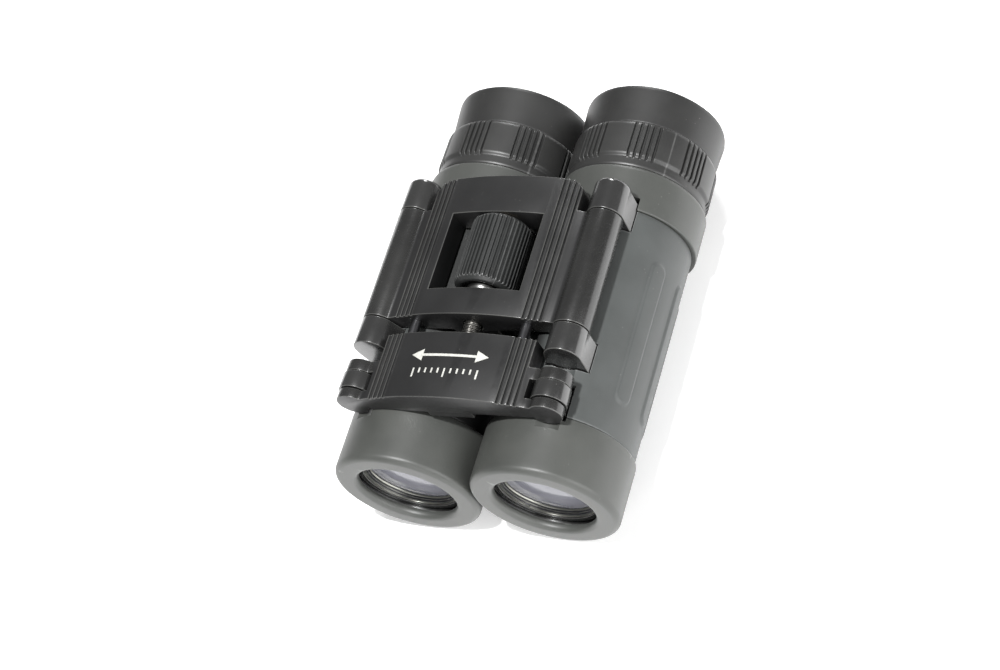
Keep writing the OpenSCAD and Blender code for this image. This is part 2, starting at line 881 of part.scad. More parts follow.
// Soft eyecup, flaring to a round rim
module eyecup() {
    rim = total_length;
    color([0.16, 0.16, 0.16])
        turned([
            [spigot_r + seat_fit, eyecup_front], [ring_r - 0.8, eyecup_front], [ring_r - 0.75, eyecup_front + 0.9],
            [eyecup_r, rim - 0.9], [eyecup_r - 0.08, rim - 0.4], [eyecup_r - 0.35, rim - 0.08], [eyecup_r - 0.65, rim],
            [eyecup_r - 0.95, rim - 0.1], [eyecup_r - 1.2, rim - 0.45], [eyecup_r - 1.3, rim - 1],
            [spigot_r + 0.2, spigot_rear + 0.6], [spigot_r + seat_fit, spigot_rear + 0.1]
        ]);
}

field_front = eye_ring_front - 1.4;
eye_front = eye_ring_rear - 3.4;
eye_retainer_r = eye_lens_r + 0.5;

module eyepiece_cell() {
    color([0.1, 0.1, 0.1])
        difference() {
            rod(eye_cell_r, eye_cell_front, eye_cell_rear);
            rod(field_lens_r - 1, eye_cell_front - past, eye_cell_rear + past);
            rod(field_lens_r + seat_fit, field_front, eye_cell_rear + past);
            rod(eye_lens_r + seat_fit, eye_front, eye_cell_rear + past);
            rod(eye_retainer_r, eye_cell_rear - 1.9, eye_cell_rear + past);
        }
}

module field_stop() {
    color([0.08, 0.08, 0.08])
        difference() {
            rod(field_lens_r - 1 - seat_fit, eye_cell_front + 1, eye_cell_front + 1.8);
            rod(field_stop_bore, eye_cell_front, eye_cell_front + 3);
        }
}

module field_lens() {
    color([0.75, 0.8, 0.85, 0.5])
        turned(lens_outline(field_lens_r, field_front + 0.05, 0, field_front + 2.2, 1.6));
}

module eye_lens() {
    color([0.75, 0.8, 0.85, 0.5])
        turned(lens_outline(eye_lens_r, eye_front + 0.85, -0.8, eye_front + 3.6, 0.9));
}

module eye_retainer() {
    outer = eye_retainer_r - 0.02;
    inner = eye_lens_r - 1;
    front = eye_cell_rear - 1.85;
    color([0.12, 0.12, 0.12])
        turned([
            [inner, front], [outer, front], [outer, eye_cell_rear],
            [outer - 0.5, eye_cell_rear], [inner, front + 0.5]
        ]);
}

on_bridge() main_bridge();
on_bridge() front_bearing_cap();
on_bridge() rear_bearing_cap();
on_bridge() cap_screws();
on_bridge() guide_rods();
on_bridge() focus_wheel();
on_bridge() focus_nut();
on_bridge() thrust_washer();
on_bridge() front_bridge();
on_bridge() focus_screw();
on_bridge() left_link_pin();
on_bridge() right_link_pin();
on_bridge() left_hinge_pin();
on_bridge() right_hinge_pin();
on_left() barrel();  // left_barrel
on_right() barrel();  // right_barrel
on_left() sleeve();  // left_sleeve
on_right() sleeve();  // right_sleeve
on_left() front_ring();  // left_front_ring
on_right() front_ring();  // right_front_ring
on_left() collar();  // left_collar
on_right() collar();  // right_collar
on_left() objective_cell();  // left_objective_cell
on_right() objective_cell();  // right_objective_cell
on_left() crown_lens();  // left_crown_lens
on_right() crown_lens();  // right_crown_lens
on_left() flint_lens();  // left_flint_lens
on_right() flint_lens();  // right_flint_lens
on_left() lens_retainer();  // left_lens_retainer
on_right() lens_retainer();  // right_lens_retainer
on_left() prism_cage();  // left_prism_cage
on_right() prism_cage();  // right_prism_cage
on_left() front_prism();  // left_front_prism
on_right() front_prism();  // right_front_prism
on_left() roof_prism();  // left_roof_prism
on_right() roof_prism();  // right_roof_prism
on_left() eyepiece_base();  // left_eyepiece_base
on_right() eyepiece_base();  // right_eyepiece_base
on_left() left_eyepiece_ring();
on_right() diopter_ring();
on_left() eyecup();  // left_eyecup
on_right() eyecup();  // right_eyecup
on_left() eyepiece_cell();  // left_eyepiece_cell
on_right() eyepiece_cell();  // right_eyepiece_cell
on_left() field_stop();  // left_field_stop
on_right() field_stop();  // right_field_stop
on_left() field_lens();  // left_field_lens
on_right() field_lens();  // right_field_lens
on_left() eye_lens();  // left_eye_lens
on_right() eye_lens();  // right_eye_lens
on_left() eye_retainer();  // left_eye_retainer
on_right() eye_retainer();  // right_eye_retainer
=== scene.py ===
# %% [markdown]
# # Compact folding binoculars
# This lesson dresses a pair of small two-hinge binoculars. The measured parts come in as a fixed
# frame in metres: +Y points from the objectives to the eyepieces and +Z is up. "Left" and "right"
# are the user's, so the left barrel is the one on the +X side.

# %% Load the frame
import json
import math

import bmesh
import bpy
import numpy as np
from mathutils import Matrix, Vector


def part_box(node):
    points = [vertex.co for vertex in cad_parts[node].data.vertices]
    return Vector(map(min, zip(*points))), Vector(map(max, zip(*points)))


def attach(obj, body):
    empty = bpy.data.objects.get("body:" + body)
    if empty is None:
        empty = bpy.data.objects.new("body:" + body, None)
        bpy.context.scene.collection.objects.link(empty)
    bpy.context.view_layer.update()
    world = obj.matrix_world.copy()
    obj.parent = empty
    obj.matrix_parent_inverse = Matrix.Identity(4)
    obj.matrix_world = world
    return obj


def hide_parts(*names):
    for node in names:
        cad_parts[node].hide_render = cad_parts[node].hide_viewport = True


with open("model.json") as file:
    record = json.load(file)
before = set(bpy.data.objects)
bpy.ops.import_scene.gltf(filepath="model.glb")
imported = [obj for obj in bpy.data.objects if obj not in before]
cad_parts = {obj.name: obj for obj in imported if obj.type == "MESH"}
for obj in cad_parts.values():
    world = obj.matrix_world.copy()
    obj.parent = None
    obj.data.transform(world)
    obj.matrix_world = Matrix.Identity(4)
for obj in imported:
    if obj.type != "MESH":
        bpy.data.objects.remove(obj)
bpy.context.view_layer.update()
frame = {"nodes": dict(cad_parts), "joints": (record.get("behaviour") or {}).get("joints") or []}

MM = 0.001
SIDES = ("left", "right")


# %% [markdown]
# The camera looks down on the folded binoculars from the front and the user's left. It is a long
# lens at half a metre, so the barrels hardly taper. The numbers describe a point that the camera
# turns about, the two angles that it stands at and how far the camera is rolled.

# %% Camera
def place_camera(target, azimuth, elevation, roll, distance, lens):
    """Aims a camera at target. Azimuth 0 looks along +Y."""
    a, e, r = (math.radians(v) for v in (azimuth, elevation, roll))
    back = Vector((math.sin(a) * math.cos(e), -math.cos(a) * math.cos(e), math.sin(e)))
    right = Vector((math.cos(a), math.sin(a), 0))
    up = back.cross(right)
    across = right * math.cos(r) + up * math.sin(r)
    upright = up * math.cos(r) - right * math.sin(r)
    data = bpy.data.cameras.new("camera")
    data.lens, data.clip_start = lens, 0.01
    camera = bpy.data.objects.new("camera", data)
    turn = Matrix((across, upright, back)).transposed().to_4x4()
    camera.matrix_world = Matrix.Translation(Vector(target) + back * distance) @ turn
    bpy.context.collection.objects.link(camera)
    bpy.context.scene.camera = camera
    return camera


camera = place_camera((-0.00658, -0.00807, 0.01705), 47.419, 50.389, -37.022, 0.50914, 80.064)
print("camera at", [round(v, 3) for v in camera.matrix_world.translation])

# %% [markdown]
# The binoculars lie on white paper. One small lamp hangs almost straight above them, so the hinge
# tubes and knuckles throw short, crisp shadows down the barrels. A wide soft light stands low on the
# user's left and a weaker one in front, and a small one behind lights the rims. The paper is much
# brighter than the room, so every flank that faces sideways mirrors it and turns pale, while the
# tops stay dark.

# %% Floor and lights
def area_light(name, direction, distance, size, power, target=(0, 0, 0.02)):
    data = bpy.data.lights.new(name, "AREA")
    data.shape, data.size, data.energy = "DISK", size, power
    light = bpy.data.objects.new(name, data)
    aim = Vector(direction).normalized()
    light.location = Vector(target) + aim * distance
    light.rotation_euler = aim.to_track_quat("Z", "Y").to_euler()
    bpy.context.collection.objects.link(light)
    return light


def mesh_object(name, vertices, faces):
    mesh = bpy.data.meshes.new(name)
    mesh.from_pydata([tuple(map(float, v)) for v in vertices], [], [tuple(map(int, f)) for f in faces])
    mesh.update()
    obj = bpy.data.objects.new(name, mesh)
    bpy.context.collection.objects.link(obj)
    return obj


half = 3.0
corners = [(-half, -half, 0), (half, -half, 0), (half, half, 0), (-half, half, 0)]
floor = mesh_object("floor", corners, [(0, 1, 2, 3)])
floor.location.z = -0.0001

# Each light: name, direction, distance and size in metres, power in watts
area_light("key", (0.06, -0.18, 1.0), 1.0, 0.08, 17)
area_light("side_sheet", (1.0, -0.35, 0.42), 1.1, 0.9, 11.3)
area_light("front_sheet", (0.1, -1.0, 0.35), 1.2, 0.7, 5.5)
area_light("rear_strip", (-0.1, 1.0, 0.55), 1.0, 0.15, 5)

world = bpy.data.worlds.new("studio")
bpy.context.scene.world = world
world.use_nodes = True
world.node_tree.nodes["Background"].inputs["Color"].default_value = (1, 1, 1, 1)
world.node_tree.nodes["Background"].inputs["Strength"].default_value = 0.27
bpy.context.scene.view_settings.view_transform = "Standard"


# %% [markdown]
# Every finish below is made of nodes. Writing node links by hand is slow to read, so one small
# class wraps a socket and lets a mask be written as a sum or a product. Single values become Math
# nodes, and colours and vectors go through Mix and Vector Math nodes.

# %% Shader arithmetic
class Value:
    """A socket that can be used in Python expressions."""

    def __init__(self, finish, socket):
        self.finish, self.socket = finish, socket

    def math(self, operation, *others, clamp=False):
        values = {0: self}
        values.update({i + 1: other for i, other in enumerate(others)})
        return self.finish.node("ShaderNodeMath", {"operation": operation, "use_clamp": clamp}, values)[0]

    def __add__(self, other): return self.math("ADD", other)
    def __radd__(self, other): return self.math("ADD", other)
    def __sub__(self, other): return self.math("SUBTRACT", other)
    def __rsub__(self, other): return self.finish.value(other).math("SUBTRACT", self)
    def __mul__(self, other): return self.math("MULTIPLY", other)
    def __rmul__(self, other): return self.math("MULTIPLY", other)
    def __truediv__(self, other): return self.math("DIVIDE", other)

    def ramp(self, low, high):
        """0 below low, 1 above high, smooth between."""
        settings = {"interpolation_type": "SMOOTHSTEP", "clamp": True}
        sockets = {"Value": self, "From Min": low, "From Max": high}
        return self.finish.node("ShaderNodeMapRange", settings, sockets)[0]


class Finish:
    """One material, built up node by node around a Principled shader."""

    def __init__(self, name, **constants):
        self.material = bpy.data.materials.new(name)
        self.material.use_nodes = True
        self.tree = self.material.node_tree
        self.shader = self.tree.nodes["Principled BSDF"]
        for socket, value in constants.items():
            self.shader.inputs[socket.replace("_", " ")].default_value = value
        self.place = self.node("ShaderNodeTexCoord")["Object"]

    def node(self, kind, settings=(), sockets=()):
        """Adds a node, makes its settings, then fills its sockets. Returns its outputs."""
        made = self.tree.nodes.new(kind)
        for key, value in dict(settings).items():
            if key == "stops":
                for i, (at, colour) in enumerate(value):
                    stop = made.color_ramp.elements[i] if i < 2 else made.color_ramp.elements.new(at)
                    stop.position, stop.color = at, (*colour, 1)
            else:
                setattr(made, key, value)
        for key, value in dict(sockets).items():
            if isinstance(value, Value):
                self.tree.links.new(value.socket, made.inputs[key])
            else:
                made.inputs[key].default_value = value
        return Outputs(self, made)

    def value(self, number):
        """A number as a Value, for the few nodes that need one in front."""
        return self.node("ShaderNodeMath", {"operation": "ADD"}, {0: float(number), 1: 0.0})[0]

    def noise(self, size_mm, detail=3.0, roughness=0.55, stretch=None):
        """Noise whose bumps are about size_mm across, from 0 to 1."""
        place = self.place
        if stretch:
            place = self.node("ShaderNodeMapping", {}, {"Vector": place, "Scale": stretch})["Vector"]
        sockets = {"Vector": place, "Scale": 1 / (size_mm * MM), "Detail": detail, "Roughness": roughness}
        return self.node("ShaderNodeTexNoise", {}, sockets)["Fac"]

    def grains(self, size_mm):
        """Distance to the nearest of many scattered points, for grains and pits."""
        sockets = {"Vector": self.place, "Scale": 1 / (size_mm * MM)}
        return self.node("ShaderNodeTexVoronoi", {}, sockets)["Distance"]

    def edges(self, low=0.52, high=0.57):
        """1 on outer edges and 0 on flat ground, from the mesh's own curvature."""
        return self.node("ShaderNodeNewGeometry")["Pointiness"].ramp(low, high)

    def mix(self, factor, a, b, blend="MIX"):
        """Mixes two colours."""
        made = self.node("ShaderNodeMix", {"data_type": "RGBA", "blend_type": blend}, {0: factor})
        for index, colour in ((6, a), (7, b)):
            target = made.owner.inputs[index]
            if isinstance(colour, Value):
                self.tree.links.new(colour.socket, target)
            else:
                target.default_value = (*colour, 1)
        return Value(self, made.owner.outputs[2])

    def feed(self, socket, value):
        self.tree.links.new(value.socket, self.shader.inputs[socket])

    def bump(self, height, depth_mm, strength=1.0):
        sockets = {"Height": height, "Distance": depth_mm * MM, "Strength": strength}
        self.feed("Normal", self.node("ShaderNodeBump", {}, sockets)["Normal"])


class Outputs:
    """A node's outputs, by name or number, each wrapped as a Value."""

    def __init__(self, finish, owner):
        self.finish, self.owner = finish, owner

    def __getitem__(self, key):
        return Value(self.finish, self.owner.outputs[key])


print("shader kit ready")


# %% [markdown]
# The armour on the barrels is a soft-touch rubber: nearly black, with a satin skin that turns warm
# grey in the light. It is never even. Large soft clouds shift its grey, a very fine grain breaks the
# sheen, edges are smoother and paler, partly rubbed wear and partly a painted highlight, and a little
# dust sits in the grain. A painted shade darkens the strip between the barrels and under the bridges,
# where deep shadow falls. The same recipe serves all rubber and moulded plastic on the object with
# other numbers.

# %% Moulded finishes
def moulded(name, dark, light, rough, grain_mm, grain_depth, dust=0.25, edge=0.35, pale=0.03, coat=0.0,
            specular=0.5, painted_shade=0.0):
    """Rubber or plastic: clouds of grey, fine grain, paler edges (rubbed wear and a painted highlight) and
    specks of dust.
    """
    finish = Finish(name, Coat_Weight=coat, Coat_Roughness=0.14, Specular_IOR_Level=specular)
    clouds = finish.noise(14, 3)
    streaks = finish.noise(3.5, 4, stretch=(1, 0.25, 1))
    grain = finish.noise(grain_mm, 2, 0.6)
    pits = finish.grains(grain_mm * 2.2)
    colour = finish.mix(clouds.ramp(0.3, 0.7), dark, light)
    colour = finish.mix(streaks.ramp(0.45, 0.8) * 0.2, colour, light)
    colour = finish.mix(grain.ramp(0.45, 0.75) * 0.3, colour, light)
    # Paler, smoother edges: partly rubbed wear, partly a painted highlight where light would catch them.
    wear_and_sheen = finish.edges() * (0.6 + finish.noise(1.2, 3).ramp(0.35, 0.65) * 0.4)
    colour = finish.mix(wear_and_sheen * edge, colour, tuple(1.5 * c + pale for c in light))
    # Painted shade: the strip within about 13 to 16 mm of the middle, between the barrels and under the
    # bridges, is darkened to near black.
    if painted_shade:
        across = finish.node("ShaderNodeSeparateXYZ", {}, {0: finish.place})["X"].math("ABSOLUTE")
        colour = finish.mix((1 - across.ramp(0.013, 0.016)) * painted_shade, colour, (0.004, 0.004, 0.004))
    specks = 1 - finish.grains(1.6).ramp(0.03, 0.09)
    specks = specks * finish.noise(9, 2).ramp(0.5, 0.68)
    colour = finish.mix(specks * dust, colour, (0.36, 0.35, 0.32))
    finish.feed("Base Color", colour)
    roughness = rough + (clouds - 0.5) * 0.08 + (grain - 0.5) * 0.14 - wear_and_sheen * 0.1 + specks * 0.2
    finish.feed("Roughness", roughness.math("MAXIMUM", 0.12, clamp=True))
    finish.bump(grain * 0.7 + pits * 0.5, grain_depth)
    return finish.material


# The armour's last argument paints shade on the strip between the barrels.
armour = moulded("armour_rubber", (0.038, 0.041, 0.040), (0.048, 0.052, 0.051), 0.5, 0.16, 0.01,
                 edge=0.9, pale=0.09, specular=0.45, painted_shade=0.85)
ring_rubber = moulded("ring_rubber", (0.037, 0.039, 0.036), (0.047, 0.049, 0.045), 0.46, 0.16, 0.01,
                      edge=0.5, pale=0.04, specular=0.5)
eyepiece_plastic = moulded("eyepiece_plastic", (0.0135, 0.0135, 0.0132), (0.019, 0.019, 0.0185),
                           0.42, 0.16, 0.006, edge=0.8, pale=0.04)
eyecup_rubber = moulded("eyecup_rubber", (0.010, 0.010, 0.0098), (0.015, 0.015, 0.0146), 0.45, 0.18, 0.008,
                        edge=0.8, pale=0.06, specular=0.5)
wheel_rubber = moulded("wheel_rubber", (0.014, 0.0145, 0.0145), (0.02, 0.021, 0.0205), 0.4, 0.16, 0.006,
                       edge=0.6, pale=0.05)
bridge_plastic = moulded("bridge_plastic", (0.0075, 0.0075, 0.0077), (0.0105, 0.0105, 0.0107),
                         0.4, 0.12, 0.006, dust=0.12, edge=0)
tube_plastic = moulded("tube_plastic", (0.008, 0.008, 0.0078), (0.015, 0.015, 0.0145), 0.27, 0.3, 0.009,
                       dust=0.15, edge=0, specular=0.72)
lug_plastic = moulded("lug_plastic", (0.011, 0.011, 0.011), (0.016, 0.016, 0.0156), 0.25, 0.25, 0.006,
                      dust=0.1, edge=0, coat=0.3, specular=0.9)
# Paler, smoother bevel edges: rubbed wear and a painted highlight.
edge_wear_and_highlight = moulded("edge_wear_and_highlight", (0.035, 0.035, 0.034), (0.06, 0.06, 0.057), 0.3, 0.12, 0.002,
                      dust=0.1, edge=0, specular=0.6)
inner_black = moulded("inner_black", (0.003, 0.003, 0.003), (0.006, 0.006, 0.006), 0.8, 0.3, 0.01,
                      dust=0.1, edge=0.1, specular=0.2)
print("moulded finishes:", [m.name for m in bpy.data.materials if "_" in m.name])


# %% [markdown]
# The few metal pieces are small but catch the eye: the nut's domed collar and the focus screw.
# Turned metal shows fine rings round its axis. Here noise squeezed along the axis draws them, and
# it moves the roughness and the bump together.

# %% Metal finishes
def turned_metal(name, colour, rough, ring_mm=0.12, tarnish=(0.2, 0.18, 0.16)):
    finish = Finish(name, Metallic=1.0)
    rings = finish.noise(ring_mm, 2, 0.7, stretch=(0.05, 1, 0.05))
    patches = finish.noise(2.5, 4).ramp(0.4, 0.75)
    finish.feed("Base Color", finish.mix(patches * 0.2, colour, tarnish))
    finish.feed("Roughness", (rough + rings * 0.12 + patches * 0.08).math("MAXIMUM", 0.08, clamp=True))
    finish.bump(rings, 0.0015)
    return finish.material


bright_metal = turned_metal("bright_metal", (0.2, 0.2, 0.195), 0.26, tarnish=(0.08, 0.075, 0.07))
ground_steel = turned_metal("ground_steel", (0.17, 0.165, 0.155), 0.3, tarnish=(0.07, 0.065, 0.055))
blackened_brass = turned_metal("blackened_brass", (0.11, 0.095, 0.07), 0.35, tarnish=(0.05, 0.045, 0.035))
anodised = turned_metal("black_anodised", (0.3, 0.3, 0.27), 0.24, tarnish=(0.12, 0.12, 0.11))
blued_steel = turned_metal("blued_steel", (0.09, 0.09, 0.095), 0.3, tarnish=(0.04, 0.035, 0.03))
print("metal finishes ready")

# %% [markdown]
# The objectives are coated glass over a black tube. Seen from above they don't look clear: a pale
# grey-lilac veil of the bright room lies over the dark inside. A glossy shader with partial alpha
# and a lilac tint, which is a painted reflection of that room, gives this, with faint smears that
# only show in the gloss.

# %% Glass finishes
def coated_glass(name, tint, alpha, rough=0.05):
    finish = Finish(name, Specular_IOR_Level=0.3, IOR=1.6, Coat_Weight=0.06, Coat_Roughness=0.03)
    smears = finish.noise(4, 3, 0.6, stretch=(1, 1, 0.5)).ramp(0.45, 0.75)
    dust = (1 - finish.grains(1.1).ramp(0.03, 0.08)) * finish.noise(6, 2).ramp(0.5, 0.7)
    colour = finish.mix(smears * 0.08, tint, tuple(0.75 * c + 0.1 for c in tint))
    finish.feed("Base Color", finish.mix(dust * 0.5, colour, (0.6, 0.6, 0.58)))
    finish.feed("Roughness", rough + smears * 0.03 + dust * 0.3)
    finish.feed("Alpha", (alpha + smears * 0.02 + dust * 0.3).math("MINIMUM", 1.0, clamp=True))
    return finish.material


# The objective glass's lilac-grey base colour is a painted reflection of the bright room.
objective_glass = coated_glass("objective_glass", (0.165, 0.166, 0.19), 0.9, 0.1)
inner_glass = coated_glass("inner_glass", (0.1, 0.12, 0.15), 0.6)
eye_glass = coated_glass("eye_glass", (0.055, 0.066, 0.085), 0.85)
prism_glass = coated_glass("prism_glass", (0.3, 0.33, 0.33), 0.6)


def paper_finish():
    """White paper that glows a little, less on the user's right."""
    finish = Finish("white_paper", Roughness=0.85, Emission_Strength=0.4)
    near = finish.node("ShaderNodeSeparateXYZ", {}, {0: finish.place})["X"].ramp(-0.06, 0.02)
    finish.feed("Emission Color", finish.mix(near, (0.3, 0.3, 0.3), (1, 1, 1)))
    clouds = finish.noise(60, 3).ramp(0.3, 0.7)
    finish.feed("Base Color", finish.mix(clouds, (0.86, 0.86, 0.86), (0.9, 0.9, 0.9)))
    finish.bump(finish.noise(0.6, 3), 0.01)
    return finish.material


floor.data.materials.append(paper_finish())
print("glass and paper ready")


# %% [markdown]
# Each barrel is easiest to shape in its own frame: the optical axis along y, the hinge straight
# above and "outwards" along x. The frame's hinge joints say where the hinge axes are, and the
# objective rings say where the barrels are, so the two frames follow from those.

# %% Frames of the barrels and the bridge
joints = {joint["name"]: joint for joint in frame["joints"]}


def node_middle(node):
    low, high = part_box(node)
    return (Vector(low) + Vector(high)) / 2


def span(node):
    """The stations where a node starts and ends along the barrels, in mm."""
    low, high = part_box(node)
    return low[1] / MM, high[1] / MM


def frame_matrix(x_axis, z_axis, origin):
    matrix = Matrix((x_axis, Vector((0, 1, 0)), z_axis)).transposed().to_4x4()
    matrix.translation = origin
    return matrix


hinge_at = {side: Vector(joints[side + "_hinge"]["pos_m"]) for side in SIDES}
barrel_frame = {}
for side in SIDES:
    middle = node_middle(side + "_front_ring")
    to_hinge = hinge_at[side] - middle
    to_hinge.y = 0
    arm = to_hinge.length / MM
    up = to_hinge.normalized()
    outward = Vector((up.z, 0, -up.x)) if side == "left" else Vector((-up.z, 0, up.x))
    barrel_frame[side] = frame_matrix(outward, up, Vector((middle.x, 0, middle.z)))

bridge_across = hinge_at["left"] - hinge_at["right"]
bridge_across.y = 0
half_span = bridge_across.length / 2 / MM
bridge_x = bridge_across.normalized()
bridge_origin = (hinge_at["left"] + hinge_at["right"]) / 2
bridge_origin.y = 0
bridge_frame = frame_matrix(bridge_x, Vector((-bridge_x.z, 0, bridge_x.x)), bridge_origin)
print("hinge arm %.2f mm, hinges %.2f mm apart" % (arm, 2 * half_span))


# %% [markdown]
# Most pieces are round, with something extra: pads, ribs, grooves or a flat trough. One function
# makes them all. It sweeps a closed outline of (radius, station) points round the axis and lets a
# shaping function change each radius on the way. Corners are eased first, because no moulded edge
# is perfectly sharp.

# %% Round pieces
def eased(outline, radius=0.2, steps=3):
    """Rounds every corner of a closed outline. A point may carry its own radius as a third number."""
    points = [np.array(p[:2], float) for p in outline]
    radii = [p[2] if len(p) > 2 else radius for p in outline]
    result = []
    for i, here in enumerate(points):
        before, after = points[i - 1] - here, points[(i + 1) % len(points)] - here
        shortest = min(np.linalg.norm(before), np.linalg.norm(after))
        reach = min(radii[i], 0.45 * shortest)
        if reach < 1e-4:
            result.append(tuple(here))
            continue
        a = here + before / np.linalg.norm(before) * reach
        b = here + after / np.linalg.norm(after) * reach
        for k in range(steps + 1):
            t = k / steps
            result.append(tuple((1 - t) ** 2 * a + 2 * t * (1 - t) * here + t * t * b))
    return result


def divided(outline, longest):
    """Splits long outline edges, so that a shaping function has points to move."""
    result = []
    for i, here in enumerate(outline):
        after = outline[(i + 1) % len(outline)]
        count = max(1, int(math.ceil(math.dist(here, after) / longest)))
        for k in range(count):
            t = k / count
            result.append((here[0] + (after[0] - here[0]) * t, here[1] + (after[1] - here[1]) * t))
    return result


def round_piece(name, outline, place, segments=192, shape=None, sharp=35):
    """Sweeps a closed outline round y. shape(turn, radius, station) returns new radii."""
    points = np.array(outline, float)
    turn = np.linspace(0, 2 * math.pi, segments, endpoint=False)
    turns, radius = np.meshgrid(turn, points[:, 0], indexing="ij")
    station = np.broadcast_to(points[:, 1], radius.shape)
    if shape is not None:
        radius = shape(turns, radius.copy(), station)
    vertices = np.stack([radius * np.sin(turns), station, radius * np.cos(turns)], -1).reshape(-1, 3) * MM
    count = len(points)
    i, k = np.meshgrid(np.arange(segments), np.arange(count), indexing="ij")
    i2, k2 = (i + 1) % segments, (k + 1) % count
    faces = np.stack([i * count + k, i2 * count + k, i2 * count + k2, i * count + k2], -1).reshape(-1, 4)
    obj = mesh_object(name, vertices, faces)
    obj.data.transform(place)
    tidy(obj, sharp)
    return obj


def tidy(obj, sharp=35):
    """Merges doubled points, turns all faces outwards and smooths all but sharp edges."""
    work = bmesh.new()
    work.from_mesh(obj.data)
    bmesh.ops.remove_doubles(work, verts=work.verts, dist=2e-6)
    bmesh.ops.dissolve_degenerate(work, edges=work.edges, dist=1e-7)
    bmesh.ops.recalc_face_normals(work, faces=work.faces)
    work.to_mesh(obj.data)
    work.free()
    obj.data.shade_smooth()
    obj.data.set_sharp_from_angle(angle=math.radians(sharp))


def finish_piece(obj, node, body, material):
    """Gives the piece its material, hangs it on its body and hides the node it stands in for."""
    obj.data.materials.clear()
    obj.data.materials.append(material)
    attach(obj, body)
    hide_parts(node)
    return obj


print("round pieces can be made")


# %% [markdown]
# Some pieces are cut: the sleeve has windows for the hinge lugs, and the objective ring has a slot
# for the lens cell's neck. A Boolean modifier with a plain cutter does this, and its result is
# written into the mesh so that nothing is left to compute later.

# %% Cutting
def prism_mesh(name, outline, start, end, place):
    """A straight cutter: an outline of (x, z) points drawn out along y."""
    count = len(outline)
    vertices = [(x, y, z) for y in (start, end) for x, z in outline]
    faces = [tuple(range(count)), tuple(range(2 * count - 1, count - 1, -1))]
    faces += [(i, (i + 1) % count, count + (i + 1) % count, count + i) for i in range(count)]
    obj = mesh_object(name, np.array(vertices) * MM, faces)
    obj.data.transform(place)
    tidy(obj)
    return obj


def rod_mesh(name, radius, start, end, place, x=0.0, z=0.0, segments=96):
    outline = [(0.0001, start), (radius, start), (radius, end), (0.0001, end)]
    return round_piece(name, outline, place @ Matrix.Translation((x * MM, 0, z * MM)), segments)


def cut(obj, cutters, sharp=35):
    """Takes the cutters away from the piece and deletes them."""
    for cutter in cutters:
        modifier = obj.modifiers.new("cut", "BOOLEAN")
        modifier.operation, modifier.solver, modifier.object = "DIFFERENCE", "EXACT", cutter
    bpy.context.view_layer.update()
    mesh = bpy.data.meshes.new_from_object(obj.evaluated_get(bpy.context.evaluated_depsgraph_get()))
    obj.modifiers.clear()
    obj.data = mesh
    for cutter in cutters:
        bpy.data.objects.remove(cutter)
    tidy(obj, sharp)


print("cutters ready")

# %% [markdown]
# ## The barrels
# The sleeve is one sheet of rubber, 1 mm thick, pushed over the tube. It is not quite centred: at
# the hinge it is flush with the rings and on the outside it lies a little lower. Long pads with soft
# shoulders stand on it, and a trough under the hinge gives the tubes room to turn.

# %% Sleeve
ring_r = 17.0
sleeve_r, sleeve_shift, tube_seat = 16.5, 0.5, 15.42
trough_r = 4.55
pad_height, pad_half_w, pad_half_l, pad_shoulder = 0.42, 2.35, 17.9, 0.8
pad_first, pad_step, pad_count, pad_offset = 49.0, 33.5, 4, 0.9


def soft_step(x):
    x = np.clip(x, 0, 1)
    return x * x * (3 - 2 * x)


def shifted_circle(turns, r, shift):
    """Distance from the barrel's axis to a circle whose centre sits towards the hinge."""
    return shift * np.cos(turns) + np.sqrt(r * r - (shift * np.sin(turns)) ** 2)


def trough(turns, radius):
    """Cuts radii back to where the hinge trough begins."""
    off = np.abs((turns + math.pi) % (2 * math.pi) - math.pi)
    inside = np.clip(trough_r ** 2 - (arm * np.sin(off)) ** 2, 0, None)
    limit = np.where((arm * np.sin(off) < trough_r) & (off < 1), arm * np.cos(off) - np.sqrt(inside), 99.0)
    return np.minimum(radius, limit)


def sleeve_shape(start, end):
    middle = (start + end) / 2 - pad_offset

    def shape(turns, radius, station):
        outer = radius > tube_seat + 0.3
        skin = shifted_circle(turns, sleeve_r, sleeve_shift) + (radius - sleeve_r)
        rise = np.zeros_like(radius)
        for i in range(pad_count):
            angle = math.radians(pad_first + i * pad_step)
            across = np.abs(((turns - angle + math.pi) % (2 * math.pi) - math.pi) * sleeve_r)
            along = np.maximum(np.abs(station - middle) - (pad_half_l - pad_half_w), 0)
            edge = pad_half_w - np.hypot(across, along)
            rise = np.maximum(rise, soft_step(edge / pad_shoulder))
        skin = trough(turns, skin + rise * pad_height)
        return np.where(outer, np.maximum(skin, tube_seat + 0.05), radius)

    return shape


slot_half, slot_floor = 3.6, 8
lug_r, flank_slope, lug_gap = 4.2, math.radians(12), 0.3
window_floor, window_top = 13, 30


def slot_outline():
    return [(-slot_half, slot_floor), (slot_half, slot_floor),
            (slot_half, window_top), (-slot_half, window_top)]


def lug_outline(gap):
    """Room for a lug: straight inside, and outside the slope of its flank."""
    head_x, head_z = lug_r * math.cos(flank_slope), arm + lug_r * math.sin(flank_slope)
    foot_x = head_x + (head_z - window_floor) * math.tan(flank_slope)
    inner_x = -lug_r - gap
    return [(inner_x, window_floor), (foot_x + gap, window_floor), (head_x + gap, head_z),
            (head_x + gap, window_top), (inner_x, window_top)]


def lug_cutters(side, name, which=("front", "rear", "slot")):
    """Cutters that open the skin around the two lugs and the neck of the lens cell."""
    cutters = []
    for key in which:
        gap = 0 if key == "slot" else lug_gap
        outline = slot_outline() if key == "slot" else lug_outline(gap)
        start, end = stations[key]
        cutter_name = "%s_%s_%s" % (side, name, key)
        cutters.append(prism_mesh(cutter_name, outline, start - gap, end + gap, barrel_frame[side]))
    return cutters


